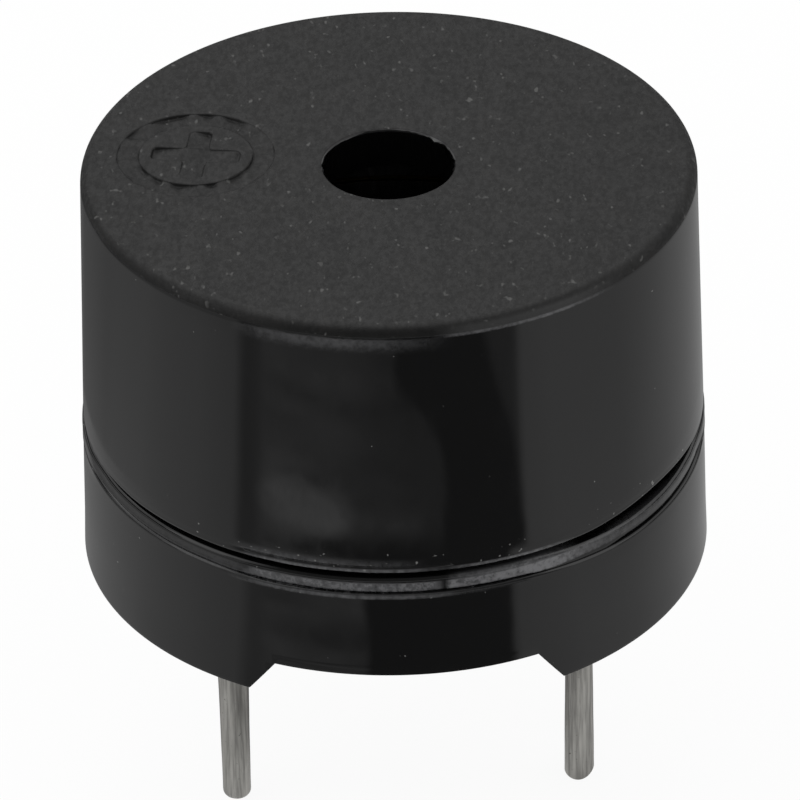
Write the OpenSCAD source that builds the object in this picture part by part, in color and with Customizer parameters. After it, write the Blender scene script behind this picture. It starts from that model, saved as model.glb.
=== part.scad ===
// Round through-hole magnetic buzzer: a two-part moulded case that holds a
// yoke, pole core, coil and ring magnet under a sprung steel diaphragm.
// Z is up. The board lies at z = 0, where the two feet rest on it, and the
// origin is midway between the terminal pins.

/* [Body] */
// Diameter of the lower case at the feet
foot_d = 12.0; // [11.6:0.05:12.4]
// Diameter of the lower case at its shoulder, under the seam
shoulder_d = 11.88; // [11.7:0.02:12.0]
// Diameter of the upper case just above the seam
skirt_d = 11.84; // [11.7:0.02:12.0]
// Diameter of the upper case at its flat top
top_d = 11.58; // [11.4:0.02:11.8]
// Height from the board to the flat top
body_h = 8.2; // [7.6:0.1:9]
// Height from the board to the top of the lower case's rim
rim_z = 2.8; // [2.6:0.05:3.1]
// Open gap of the welded seam
seam_gap = 0.12; // [0.08:0.02:0.2]
// Round edge of the flat top
top_round = 0.15; // [0.1:0.01:0.3]

/* [Upper case] */
// Thickness of the roof
roof_t = 0.8; // [0.6:0.05:1.1]
// Diameter of the sound hole
hole_d = 2.48; // [2:0.02:3]
// Bevel round the mouth of the sound hole
hole_bevel = 0.05; // [0.02:0.01:0.1]
// Inner diameter of the resonance chamber over the diaphragm
chamber_d = 9.5; // [9.2:0.05:9.6]
// Turn of the upper case against the row of pins, in degrees
case_turn = -8.5; // [-20:0.5:20]
// Rise of the seam's edge where the weld stands open
weld_rise = 0.16; // [0.05:0.01:0.25]
// Direction of the place where the weld stands open, in degrees from +X
weld_dir = -40; // [-90:5:0]
// Half of the angle that the open place spans, in degrees
weld_span = 27; // [15:1:35]

/* [Polarity mark] */
// Distance of the mark's centre from the case's axis
mark_offset = 3.65; // [3.4:0.05:3.9]
// Outer diameter of the ring round the plus
mark_ring_d = 2.96; // [2.6:0.02:3.2]
// Width of the ring
mark_ring_w = 0.4; // [0.25:0.01:0.5]
// Length of the plus from end to end
mark_plus_l = 1.7; // [1.3:0.05:1.9]
// Width of the plus
mark_plus_w = 0.5; // [0.3:0.02:0.6]
// Depth of the mark
mark_depth = 0.08; // [0.03:0.01:0.15]

/* [Lower case] */
// Height of the channel between the feet
channel_h = 0.7; // [0.5:0.05:0.9]
// Width of the channel at the board
channel_foot_w = 5.95; // [5.4:0.05:6.1]
// Width of the channel at its ceiling
channel_top_w = 4.95; // [4:0.05:5.2]
// Thickness of the floor over the channel
floor_t = 0.8; // [0.6:0.05:1]
// Diameter of the well that holds the magnet system
well_d = 10.0; // [9.8:0.05:10.1]
// Wall thickness of the spigot that enters the upper case
spigot_t = 0.35; // [0.25:0.01:0.4]
// Height of the spigot above the rim
spigot_h = 0.7; // [0.4:0.05:0.9]
// Height of the rounded bead under the seam
bead_h = 0.28; // [0.2:0.01:0.4]
// Set-back of the bead from the shoulder
bead_setback = 0.06; // [0.03:0.01:0.1]

/* [Terminal pins] */
// Distance between the two pins
pin_pitch = 6.7; // [6.6:0.05:6.9]
// Diameter of a pin
pin_d = 0.58; // [0.5:0.02:0.62]
// Length of a pin below the board plane
pin_l = 6.1; // [3:0.1:8]
// Rounding of the positive pin's tip
tip_round = 0.13; // [0.05:0.01:0.2]
// Radius of the sheared end of the negative pin
shear_r = 0.5; // [0.4:0.05:1]
// Width of a pin's flattened upper end, which the floor is moulded round
flat_w = 0.7; // [0.6:0.02:0.8]
// Thickness of that flattened end
flat_t = 0.38; // [0.3:0.02:0.46]

/* [Magnet system] */
// Thickness of the yoke plate
yoke_t = 0.8; // [0.6:0.05:1]
// Height of the ring magnet
magnet_h = 2.2; // [1.8:0.05:2.4]
// Width of the yoke plate across its two flats
yoke_w = 5.5; // [5:0.05:5.6]
// Inner diameter of the ring magnet
magnet_id = 7.2; // [6.9:0.05:7.6]
// Diameter of the pole core inside the coil
core_d = 2.2; // [1.8:0.05:2.4]
// Diameter of the core's riveted end
rivet_d = 1.6; // [1.2:0.05:1.7]
// Outer diameter of the coil
coil_d = 5.2; // [4.6:0.05:5.3]
// Diameter of the coil's wire with its enamel
wire_d = 0.12; // [0.1:0.01:0.16]

/* [Diaphragm] */
// Height of the support ring
ring_h = 0.5; // [0.4:0.02:0.7]
// Inner diameter of the support ring
ring_id = 8.6; // [8.2:0.05:8.9]
// Diameter of the diaphragm
diaphragm_d = 9.3; // [9.2:0.02:9.36]
// Thickness of the diaphragm
diaphragm_t = 0.08; // [0.05:0.01:0.12]
// Diameter of the armature disc on the diaphragm
armature_d = 3.6; // [3:0.1:4.2]
// Thickness of the armature disc
armature_t = 0.3; // [0.2:0.02:0.4]
// Gap between the core and the diaphragm
air_gap = 0.35; // [0.25:0.01:0.5]

/* [Hidden] */
$fn = 96;

// Clearances
slip = 0.05;       // between parts that drop into each other
lead_space = 0.1;  // between the solder joints and the steel round them
eps = 0.01;        // overshoot of the cuts
reach = 1;         // overshoot of the channel past the wall and below the feet

// Shares of a neighbour's size
solder_grip = 0.6;  // of the solder's height, which the pin's end reaches
glue_start = 1 / 3; // of the magnet's radial width, where the adhesive starts
shear_start = 1 / 8; // of the pin's diameter, from its axis to the middle of the sheared end

// Rounding of moulded edges
lip_r = 0.08;
arc_steps = 6;
bead_sweep = 75;  // angle of the shoulder's round, up to the crease under the bead
turn_sweep = 80;  // half angle of one turn of wire that stands proud of the coil
turn_steps = 4;
lead_turn = 4;    // turns from the coil's foot to the one that a lead leaves

// Heights, from the board up
floor_z = channel_h + floor_t;
yoke_z = floor_z + yoke_t;
magnet_z = yoke_z + magnet_h;
ring_z = magnet_z + ring_h;
seat_z = ring_z - diaphragm_t - slip / 2;
core_z = seat_z - air_gap;
seam_z = rim_z + seam_gap;
spigot_z = rim_z + spigot_h;
roof_z = body_h - roof_t;
bead_z = rim_z - bead_h;

// Radii that follow their neighbours
well_r = well_d / 2;
spigot_r = well_r + spigot_t;
rebate_r = spigot_r + slip;
magnet_r = well_r - slip;
ring_r = well_r;
case_bore_r = ring_r + slip;
recess_r = diaphragm_d / 2 + slip;
bead_r = shoulder_d / 2 - bead_setback;
solder_r = (pin_pitch - yoke_w) / 2 - lead_space;
glue_r = magnet_id / 2 + (well_r - magnet_id / 2) * glue_start;
solder_h = yoke_t - lead_space;
flat_h = channel_h + floor_t - slip + solder_h * solder_grip;

// Coil layers
coil_h = core_z - yoke_z - 2 * slip;
coil_turns = floor(coil_h / wire_d);
turn_h = coil_h / coil_turns;

// Points of an arc from angle a to angle b round (cx, cy)
function arc(cx, cy, r, a, b, steps = arc_steps) =
    [for (i = [0 : steps]) let (t = a + (b - a) * i / steps) [cx + r * cos(t), cy + r * sin(t)]];

// Outside of the upper case, with a rolled lip at the seam and a round top edge
module upper_case_solid() {
    rotate_extrude()
        polygon(concat(
            [[0, seam_z]],
            arc(skirt_d / 2 - lip_r, seam_z + lip_r, lip_r, -90, 0),
            arc(top_d / 2 - top_round, body_h - top_round, top_round, 0, 90),
            [[0, body_h]]
        ));
}

// Rebate for the spigot, bore for the support ring, chamber and sound hole
module upper_case_bores() {
    translate([0, 0, seam_z - eps])
        cylinder(h = spigot_z - seam_z + eps, r = rebate_r);
    translate([0, 0, seam_z])
        cylinder(h = ring_z - seam_z, r = case_bore_r);
    translate([0, 0, seam_z])
        cylinder(h = roof_z - seam_z, d = chamber_d);
    cylinder(h = body_h + eps, d = hole_d);
    translate([0, 0, body_h - hole_bevel])
        cylinder(h = hole_bevel + eps, d1 = hole_d, d2 = hole_d + 2 * (hole_bevel + eps));
}

// Plus in a ring, sunk into the flat top over the positive pin
module polarity_mark() {
    translate([-mark_offset, 0, body_h - mark_depth])
        linear_extrude(mark_depth + eps) {
            difference() {
                circle(d = mark_ring_d);
                circle(d = mark_ring_d - 2 * mark_ring_w);
            }
            square([mark_plus_l, mark_plus_w], center = true);
            square([mark_plus_w, mark_plus_l], center = true);
        }
}

// Sloping cut that opens the seam on one side
module weld_opening() {
    skirt_r = skirt_d / 2;
    chord = skirt_r * cos(weld_span);
    slope = atan(weld_rise / (skirt_r - chord));
    rotate([0, 0, weld_dir])
        translate([chord, 0, seam_z])
            rotate([0, -slope, 0])
                translate([0, -skirt_r, -skirt_r])
                    cube([skirt_r, 2 * skirt_r, skirt_r]);
}

module upper_case() {
    color([0.17, 0.17, 0.17])
        difference() {
            upper_case_solid();
            upper_case_bores();
            rotate([0, 0, case_turn])
                polarity_mark();
            weld_opening();
        }
}

// Outside of the lower case: tapered wall, shoulder, bead and spigot
module lower_case_solid() {
    rotate_extrude()
        polygon(concat(
            [[0, 0], [foot_d / 2, 0]],
            arc(shoulder_d / 2 - lip_r, bead_z - lip_r, lip_r, 0, bead_sweep),
            [[bead_r - slip, bead_z]],
            arc(bead_r - lip_r, bead_z + lip_r, lip_r, -bead_sweep, 0),
            arc(bead_r - lip_r, rim_z - lip_r, lip_r, 0, 90),
            [[spigot_r, rim_z], [spigot_r, spigot_z], [0, spigot_z]]
        ));
}

// Channel that runs from front to back between the feet
module channel() {
    half_l = foot_d / 2 + reach;
    rotate([90, 0, 0])
        translate([0, 0, -half_l])
            linear_extrude(2 * half_l)
                polygon([
                    [-channel_foot_w / 2, 0], [-channel_top_w / 2, channel_h],
                    [channel_top_w / 2, channel_h], [channel_foot_w / 2, 0],
                    [channel_foot_w / 2, -reach], [-channel_foot_w / 2, -reach]
                ]);
}

module lower_case() {
    color([0.16, 0.16, 0.16])
        difference() {
            lower_case_solid();
            translate([0, 0, floor_z])
                cylinder(h = spigot_z - floor_z + eps, r = well_r);
            channel();
            for (side = [-1, 1])
                translate([side * pin_pitch / 2, 0, 0])
                    pin_shank(-eps);
        }
}

// Round shank from height low, and the flattened end that the floor and the solder hold
module pin_shank(low) {
    translate([0, 0, low])
        cylinder(h = slip - low, d = pin_d);
    translate([-flat_t / 2, -flat_w / 2, slip])
        cube([flat_t, flat_w, flat_h]);
}

module positive_pin() {
    color([0.62, 0.62, 0.6])
        translate([-pin_pitch / 2, 0, 0]) {
            pin_shank(-pin_l + tip_round);
            rotate_extrude()
                polygon(concat(
                    [[0, -pin_l]],
                    arc(pin_d / 2 - tip_round, -pin_l + tip_round, tip_round, -90, 0),
                    [[0, -pin_l + tip_round]]
                ));
        }
}

// The negative pin was sheared off, so its end slopes to one side
module negative_pin() {
    color([0.62, 0.62, 0.6])
        translate([pin_pitch / 2, 0, 0])
            intersection() {
                pin_shank(-pin_l);
                union() {
                    translate([-pin_d * shear_start, 0, -pin_l + shear_r])
                        rotate([90, 0, 0])
                            cylinder(h = 2 * pin_d, r = shear_r, center = true);
                    translate([-pin_d, -pin_d, -pin_l + shear_r])
                        cube([2 * pin_d, 2 * pin_d, pin_l + yoke_z]);
                }
            }
}

// Disc with two flats that leave room for the solder joints
module yoke_plate() {
    color([0.6, 0.6, 0.62])
        difference() {
            intersection() {
                translate([0, 0, floor_z])
                    cylinder(h = yoke_t, r = magnet_r);
                translate([-yoke_w / 2, -well_r, floor_z])
                    cube([yoke_w, well_d, yoke_t]);
            }
            translate([0, 0, floor_z - eps])
                cylinder(h = yoke_t + 2 * eps, d = rivet_d);
        }
}

module pole_core() {
    color([0.66, 0.66, 0.68]) {
        translate([0, 0, floor_z])
            cylinder(h = yoke_t, d = rivet_d);
        translate([0, 0, yoke_z])
            cylinder(h = core_z - yoke_z, d = core_d);
    }
}

// Winding, with the outer layer's turns as rounded ribs
module coil() {
    outer_r = coil_d / 2 - turn_h / 2;
    color([0.72, 0.38, 0.2])
        translate([0, 0, yoke_z + slip])
            rotate_extrude()
                polygon(concat(
                    [[core_d / 2 + slip, 0]],
                    [for (i = [0 : coil_turns - 1])
                        each arc(outer_r, (i + 0.5) * turn_h, turn_h / 2, -turn_sweep, turn_sweep, turn_steps)],
                    [[core_d / 2 + slip, coil_h]]
                ));
}

// Smooth outside of the coil, which the leads end on
module coil_envelope() {
    translate([0, 0, yoke_z + slip])
        cylinder(h = coil_h, d = coil_d);
}

// Dome of solder over a pin's upper end, with foot at the origin
module solder_dome() {
    scale_r = (solder_r * solder_r + solder_h * solder_h) / (2 * solder_h);
    intersection() {
        translate([0, 0, solder_h - scale_r])
            sphere(r = scale_r);
        cylinder(h = solder_h, r = solder_r);
    }
}

module solder_joint(side) {
    color([0.7, 0.7, 0.7])
        difference() {
            translate([side * pin_pitch / 2, 0, floor_z])
                solder_dome();
            translate([side * pin_pitch / 2, 0, 0])
                pin_shank(-eps);
        }
}

// Straight end of the winding wire, from the coil down into the solder
module coil_lead(side) {
    start = [coil_d / 2 - wire_d, yoke_z + lead_turn * wire_d];
    end = [pin_pitch / 2, slip + flat_h];
    run = end - start;
    color([0.76, 0.42, 0.22])
        difference() {
            mirror([side < 0 ? 1 : 0, 0, 0])
                translate([start[0], 0, start[1]])
                    rotate([0, 90 - atan2(run[1], run[0]), 0])
                        cylinder(h = norm(run), d = wire_d);
            coil_envelope();
            translate([side * pin_pitch / 2, 0, floor_z])
                solder_dome();
        }
}

module ring_magnet() {
    color([0.2, 0.2, 0.21])
        translate([0, 0, yoke_z])
            difference() {
                cylinder(h = magnet_h, r = magnet_r);
                translate([0, 0, -eps])
                    cylinder(h = magnet_h + 2 * eps, d = magnet_id);
            }
}

// Two crescents of adhesive under the magnet, beside the yoke's flats and clear of the solder
module magnet_adhesive() {
    cut_h = yoke_t + 2 * eps;
    color([0.75, 0.68, 0.45])
        difference() {
            translate([0, 0, floor_z])
                cylinder(h = yoke_t, r = well_r);
            translate([0, 0, floor_z - eps]) {
                cylinder(h = cut_h, r = glue_r);
                translate([-yoke_w / 2 - lead_space, -well_d, 0])
                    cube([yoke_w + 2 * lead_space, 2 * well_d, cut_h]);
                for (side = [-1, 1])
                    translate([side * pin_pitch / 2, 0, 0])
                        cylinder(h = cut_h, r = solder_r + lead_space);
            }
        }
}

// Ring that carries the diaphragm in a shallow recess
module support_ring() {
    color([0.78, 0.66, 0.4])
        difference() {
            translate([0, 0, magnet_z])
                cylinder(h = ring_h, r = ring_r);
            translate([0, 0, magnet_z - eps])
                cylinder(h = ring_h + 2 * eps, d = ring_id);
            translate([0, 0, seat_z])
                cylinder(h = ring_h, r = recess_r);
        }
}

module diaphragm() {
    color([0.74, 0.74, 0.75])
        translate([0, 0, seat_z])
            cylinder(h = diaphragm_t, d = diaphragm_d);
}

module armature_disc() {
    color([0.55, 0.55, 0.57])
        translate([0, 0, seat_z + diaphragm_t])
            cylinder(h = armature_t, d = armature_d);
}

upper_case();
lower_case();
positive_pin();
negative_pin();
yoke_plate();
pole_core();
coil();
coil_lead(-1);  // positive_coil_lead
coil_lead(1);  // negative_coil_lead
solder_joint(-1);  // positive_solder_joint
solder_joint(1);  // negative_solder_joint
ring_magnet();
magnet_adhesive();
support_ring();
diaphragm();
armature_disc();
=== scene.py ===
import math

import bmesh
import bpy
from mathutils import Matrix, Vector, noise


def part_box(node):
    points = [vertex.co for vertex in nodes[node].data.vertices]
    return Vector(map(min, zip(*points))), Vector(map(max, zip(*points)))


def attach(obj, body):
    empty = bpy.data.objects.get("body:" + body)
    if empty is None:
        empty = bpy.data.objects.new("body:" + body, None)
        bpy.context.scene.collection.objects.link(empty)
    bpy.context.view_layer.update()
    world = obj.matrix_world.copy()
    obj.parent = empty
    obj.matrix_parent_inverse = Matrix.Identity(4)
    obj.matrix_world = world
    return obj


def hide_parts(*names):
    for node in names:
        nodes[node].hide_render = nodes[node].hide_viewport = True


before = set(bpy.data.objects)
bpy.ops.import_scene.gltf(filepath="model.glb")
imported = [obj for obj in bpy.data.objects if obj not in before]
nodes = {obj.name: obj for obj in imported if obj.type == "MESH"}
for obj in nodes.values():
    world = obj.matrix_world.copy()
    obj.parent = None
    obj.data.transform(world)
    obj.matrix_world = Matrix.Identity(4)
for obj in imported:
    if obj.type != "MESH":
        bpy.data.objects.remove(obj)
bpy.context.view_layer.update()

mm = 0.001
mergeDistance = 1e-7     # vertices nearer than this become one, in metres
borderSlack = 0.005      # how far a ring may lie from where it is looked for
sharpAngle = 50          # edges that fold by more are shaded sharp
roundSteps = 3           # segments of a rounded edge
noiseSpan = (0.3, 0.7)   # where most values of a noise field lie
scene = bpy.context.scene


def cadSpan(node):  # a node's lowest and highest corners, in millimetres
    low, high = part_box(node)
    return low / mm, high / mm


capLow, capHigh = cadSpan("upper_case")
baseLow, baseHigh = cadSpan("lower_case")
pinLow, pinHigh = cadSpan("positive_pin")
seamZ = capLow.z
topZ = capHigh.z
boardZ = baseLow.z
tipZ = pinLow.z
footRadius = baseHigh.x
skirtRadius = capHigh.x
pinX = abs(pinLow.x + pinHigh.x) / 2


def arc(centre, radius, start, end, steps=6):  # points round a centre, angles in degrees
    angles = [math.radians(start + (end - start) * i / steps) for i in range(steps + 1)]
    return [(centre[0] + radius * math.cos(a), centre[1] + radius * math.sin(a)) for a in angles]


def between(start, end, steps):  # points inside a straight stretch, without its ends
    shares = [i / steps for i in range(1, steps)]
    return [(start[0] + (end[0] - start[0]) * s, start[1] + (end[1] - start[1]) * s) for s in shares]


def unique(items):  # without repeats, in their first order
    return list(dict.fromkeys(items))


def spinProfile(bm, points, steps):
    verts = [bm.verts.new((radius * mm, 0, height * mm)) for radius, height in points]
    edges = [bm.edges.new(pair) for pair in zip(verts, verts[1:])]
    bmesh.ops.spin(bm, geom=verts + edges, cent=(0, 0, 0), axis=(0, 0, 1), dvec=(0, 0, 0),
                   angle=2 * math.pi, steps=steps, use_merge=True)
    bmesh.ops.remove_doubles(bm, verts=bm.verts[:], dist=mergeDistance)


def borderAt(bm, height, radius):  # open edges of a ring round the axis
    def fits(vert):
        atHeight = abs(vert.co.z / mm - height) < borderSlack
        return atHeight and abs(vert.co.xy.length / mm - radius) < borderSlack
    return [e for e in bm.edges if e.is_boundary and all(fits(v) for v in e.verts)]


def fillFlat(bm, edges):  # flat face with holes
    filled = bmesh.ops.triangle_fill(bm, edges=edges, use_beauty=True, use_dissolve=False)
    return [item for item in filled["geom"] if isinstance(item, bmesh.types.BMFace)]


def bandInside(bm, faces, width):  # even band of faces along the borders of a flat region
    bmesh.ops.recalc_face_normals(bm, faces=faces)
    bmesh.ops.inset_region(bm, faces=faces, thickness=width * mm, use_boundary=True,
                           use_even_offset=True)


def lowerLoop(bm, edges, depth):  # wall down from a loop, and the loop at its foot
    made = bmesh.ops.extrude_edge_only(bm, edges=edges)["geom"]
    verts = [item for item in made if isinstance(item, bmesh.types.BMVert)]
    bmesh.ops.translate(bm, verts=verts, vec=(0, 0, -depth * mm))
    return [item for item in made
            if isinstance(item, bmesh.types.BMEdge) and all(v in verts for v in item.verts)]


def circleLoop(bm, radius, steps, place):
    made = bmesh.ops.create_circle(bm, cap_ends=False, segments=steps, radius=radius * mm, matrix=place)
    return unique(e for v in made["verts"] for e in v.link_edges)


def sharpEdges(bm, angle, test):  # edges that fold by more than the angle, where the test holds
    return [e for e in bm.edges if len(e.link_faces) == 2 and e.calc_face_angle() > math.radians(angle)
            and all(test(v.co) for v in e.verts)]


def roundEdges(bm, edges, radius):
    bmesh.ops.bevel(bm, geom=edges, offset=radius * mm, offset_type="OFFSET", segments=roundSteps,
                    profile=0.5, affect="EDGES", material=-1, clamp_overlap=True)


def objectFrom(bm, name, materials):
    mesh = bpy.data.meshes.new(name)
    bm.to_mesh(mesh)
    bm.free()
    for material in materials:
        mesh.materials.append(material)
    piece = bpy.data.objects.new(name, mesh)
    scene.collection.objects.link(piece)
    return piece


def finishPiece(bm, name, materials):
    bmesh.ops.remove_doubles(bm, verts=bm.verts[:], dist=mergeDistance)
    bmesh.ops.recalc_face_normals(bm, faces=bm.faces[:])
    piece = objectFrom(bm, name, materials)
    piece.data.shade_smooth()
    piece.data.set_sharp_from_angle(angle=math.radians(sharpAngle))
    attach(piece, "root")
    return piece


def frontAngle(point):  # degrees round the case, from the front towards +X, -90 to 270
    return (math.degrees(math.atan2(point.x, -point.y)) + 90) % 360 - 90


def smoothStep(low, high, value):
    share = min(max((value - low) / (high - low), 0), 1)
    return share * share * (3 - 2 * share)


def levelAt(stops, azimuth):  # smooth curve through stops of azimuth and level
    for (start, low), (end, high) in zip(stops, stops[1:]):
        if azimuth <= end:
            return low + (high - low) * smoothStep(start, end, azimuth)
    return stops[-1][1]


def startMaterial(name, colour, roughness, metallic=0.0, ior=1.5):
    material = bpy.data.materials.new(name)
    material.use_nodes = True
    shader = material.node_tree.nodes["Principled BSDF"]
    values = {"Base Color": (*colour, 1), "Roughness": roughness, "Metallic": metallic, "IOR": ior}
    for socket, value in values.items():
        shader.inputs[socket].default_value = value
    return material, shader


def addNode(tree, kind, **inputs):  # a shader node, with its sockets set or linked by name
    node = tree.nodes.new("ShaderNode" + kind)
    for name, value in inputs.items():
        setSocket(node.inputs[name], value)
    return node


def isSocket(value):
    return isinstance(value, bpy.types.NodeSocket)


def setSocket(socket, value):
    if isSocket(value):
        socket.id_data.links.new(value, socket)
    else:
        socket.default_value = value


def setSurface(shader, colour, roughness, normal):
    for name, value in (("Base Color", colour), ("Roughness", roughness), ("Normal", normal)):
        setSocket(shader.inputs[name], value)


def noiseField(material, grain, stretch=(1, 1, 1), detail=3.0, roughness=0.5):  # grain in mm
    tree = material.node_tree
    coords = addNode(tree, "TexCoord")
    point = addNode(tree, "Mapping", Vector=coords.outputs["Object"], Scale=stretch)
    texture = addNode(tree, "TexNoise", Vector=point.outputs["Vector"],
                      Scale=1 / (grain * mm), Detail=detail, Roughness=roughness)
    return texture.outputs[0]


def remap(value, fromLow, fromHigh, toLow=0.0, toHigh=1.0, smooth=True):
    node = addNode(value.id_data, "MapRange", Value=value)
    node.interpolation_type = "SMOOTHSTEP" if smooth else "LINEAR"
    limits = {"From Min": fromLow, "From Max": fromHigh, "To Min": toLow, "To Max": toHigh}
    for name, number in limits.items():
        setSocket(node.inputs[name], number)
    return node.outputs["Result"]


def calculate(operation, first, second=0.0):
    node = addNode((first if isSocket(first) else second).id_data, "Math")
    node.operation = operation
    setSocket(node.inputs[0], first)
    setSocket(node.inputs[1], second)
    return node.outputs[0]


def times(first, second):
    return calculate("MULTIPLY", first, second)


def plus(first, second):
    return calculate("ADD", first, second)


def minus(first, second):
    return calculate("SUBTRACT", first, second)


def lengthOf(first, second):
    return calculate("SQRT", plus(times(first, first), times(second, second)))


def blendColours(factor, first, second):
    node = addNode(factor.id_data, "Mix")
    node.data_type = "RGBA"
    setSocket(node.inputs[0], factor)
    for socket, colour in ((node.inputs[6], first), (node.inputs[7], second)):
        setSocket(socket, (*colour, 1) if isinstance(colour, tuple) else colour)
    return node.outputs[2]


def bumpFrom(height, depth, strength=1.0, normal=None):  # depth in mm
    node = addNode(height.id_data, "Bump", Height=height, Strength=strength, Distance=depth * mm)
    if normal is not None:
        setSocket(node.inputs["Normal"], normal)
    return node.outputs["Normal"]


def placeInMm(material):  # x, y and height over the board
    coords = addNode(material.node_tree, "TexCoord")
    axes = addNode(material.node_tree, "SeparateXYZ", Vector=coords.outputs["Object"])
    return [calculate("DIVIDE", axes.outputs[name], mm) for name in "XYZ"]


def azimuthAt(x, y):  # degrees round the case, from the front
    angle = calculate("ARCTAN2", x, times(y, -1.0))
    return times(angle, 180 / math.pi)


def azimuthRamp(azimuth, stops):  # grey levels at azimuths from the front
    turned = remap(azimuth, -180, 180, smooth=False)
    node = addNode(azimuth.id_data, "ValToRGB", Fac=turned)
    places = node.color_ramp.elements
    while len(places) < len(stops):
        places.new(0.5)
    for place, (at, grey) in zip(places, stops):
        place.position = (at + 180) / 360
        place.color = (grey, grey, grey, 1)
    return node.outputs["Color"]


def bandShare(value, low, high, softLow, softHigh=None):  # 1 between low and high
    softHigh = softHigh or softLow
    return times(remap(value, low - softLow, low + softLow),
                 remap(value, high - softHigh, high + softHigh, 1.0, 0.0))


polishedWall = {
    "colour": (0.002, 0.002, 0.0021),
    "roughness": 0.05,
    "ior": 1.45,
    "sink": {"grain": 2.6, "stretch": (1, 1, 0.6), "detail": 1.0},
    "sinkDepth": 0.02,
    "scuff": {"grain": 0.35, "stretch": (1, 1, 0.45), "detail": 4.0, "roughness": 0.65},
    "scuffSpan": (0.35, 0.75),
    "scuffRoughness": 0.06,
    "fuzz": {"grain": 0.12, "roughness": 0.7},
    "fuzzDepth": 0.01,
    # paler colour of the painted highlight bands
    "paintedHighlight": (0.135, 0.135, 0.14),
    "paintedHighlightRoughness": 0.35,
    "ragged": 0.08,          # how far a painted highlight band's borders wander, in mm
    "patchySpan": (0.3, 0.62),
    "patchyShares": (0.35, 1.25),
    "dustColour": (0.16, 0.16, 0.155),
    "dust": {"grain": 0.09, "stretch": (1, 0.6, 1), "detail": 1.0},
    "dustRarity": 0.8,       # higher is rarer
    "dustSoft": 0.05,
    "dustLevel": 0.8,
    "seamDust": {"z": (2.9, 3.4), "soft": 0.12, "rarity": 0.7,
                 "shares": ((-60, 0), (-28, 1), (60, 1), (75, 0))},
}

# painted highlight bands, a paler colour laid along the lip, bead and wall where bright lines show: heights,
# soft borders, ragged share, and level at azimuths
paintedHighlightBands = (
    {"z": (2.48, 2.69), "soft": (0.02, 0.02), "ragged": 0.8, "shares": (
        (-60, 0.04), (-31, 0.12), (-27, 0.55), (-2, 0.6), (5.4, 0.65), (6.2, 0.03), (7.7, 0.03),
        (8, 1), (8.6, 1), (8.9, 0.7), (24, 1), (28, 1), (32, 0.6), (36, 0.35), (40, 0.25),
        (50, 0.15), (90, 0.1), (130, 0.04))},
    {"z": (2.69, 2.79), "soft": (0.02, 0.03), "ragged": 0.6, "shares": (
        (7.5, 0), (10, 0.35), (24, 0.5), (29, 0.25), (34, 0))},
    {"z": (2.935, 3.02), "soft": (0.02, 0.02), "ragged": 0.2, "shares": (
        (-31, 0), (-27, 0.5), (2, 0.5), (4, 0.2), (8, 0.1), (9.5, 0.45), (23, 0.6), (28, 0.3),
        (32, 0))},
    {"z": (3.07, 3.2), "soft": (0.05, 0.08), "ragged": 1.0, "shares": (
        (-32, 0), (-26, 0.3), (-2, 0.15), (4, 0))},
    {"z": (2.375, 2.45), "soft": (0.02, 0.02), "ragged": 0.3, "shares": (
        (-34, 0), (-26, 0.35), (-6, 0.4), (6, 0.3), (10, 0.1), (28, 0))},
    {"z": (7.8, 7.98), "soft": (0.14, 0.02), "ragged": 1.2, "shares": (
        (-32, 0), (-26, 0.2), (-12, 0.3), (-4, 0.24), (4, 0.1), (9, 0))},
    {"z": (7.965, 8.03), "soft": (0.02, 0.03), "ragged": 0.3, "shares": (
        (6, 0), (11, 0.4), (30, 0.5), (38, 0.2), (44, 0))},
)


# painted highlight: how much paler colour the bands lay on the wall
def paintedHighlightAmount(look, height, azimuth, fuzz):
    offset = minus(fuzz, 0.5)
    paintedHighlight = 0.0
    for band in paintedHighlightBands:
        stray = times(offset, look["ragged"] * band["ragged"])
        level = plus(height, stray)
        share = times(bandShare(level, *band["z"], *band["soft"]), azimuthRamp(azimuth, band["shares"]))
        paintedHighlight = plus(paintedHighlight, share)
    patchy = remap(fuzz, *look["patchySpan"], *look["patchyShares"], smooth=False)
    return times(paintedHighlight, patchy)


def dustShare(material, look, height, azimuth):  # dust gathers above the seam
    dust, seam = noiseField(material, **look["dust"]), look["seamDust"]
    nearSeam = times(bandShare(height, *seam["z"], seam["soft"]), azimuthRamp(azimuth, seam["shares"]))
    rarity = remap(nearSeam, 0.0, 1.0, look["dustRarity"], seam["rarity"], smooth=False)
    return remap(minus(dust, rarity), 0.0, look["dustSoft"], 0.0, look["dustLevel"])


def polishedBlack(name):
    look = polishedWall
    material, shader = startMaterial(name, look["colour"], look["roughness"], ior=look["ior"])
    x, y, height = placeInMm(material)
    azimuth = azimuthAt(x, y)
    sink, scuff, fuzz = (noiseField(material, **look[field]) for field in ("sink", "scuff", "fuzz"))
    # painted highlight bands: paler colour, rougher, with the fine bump where they lie
    paintedHighlight = paintedHighlightAmount(look, height, azimuth, fuzz)
    paintedHighlightShare = calculate("MINIMUM", paintedHighlight, 1.0)
    colour = blendColours(paintedHighlightShare, look["colour"], look["paintedHighlight"])
    dusty = blendColours(dustShare(material, look, height, azimuth), colour, look["dustColour"])
    polish = remap(scuff, *look["scuffSpan"], look["roughness"], look["roughness"] + look["scuffRoughness"])
    roughness = plus(polish, times(paintedHighlightShare, look["paintedHighlightRoughness"]))
    waves = bumpFrom(sink, look["sinkDepth"])
    setSurface(shader, dusty, roughness, bumpFrom(fuzz, look["fuzzDepth"], paintedHighlight, waves))
    return material


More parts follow.
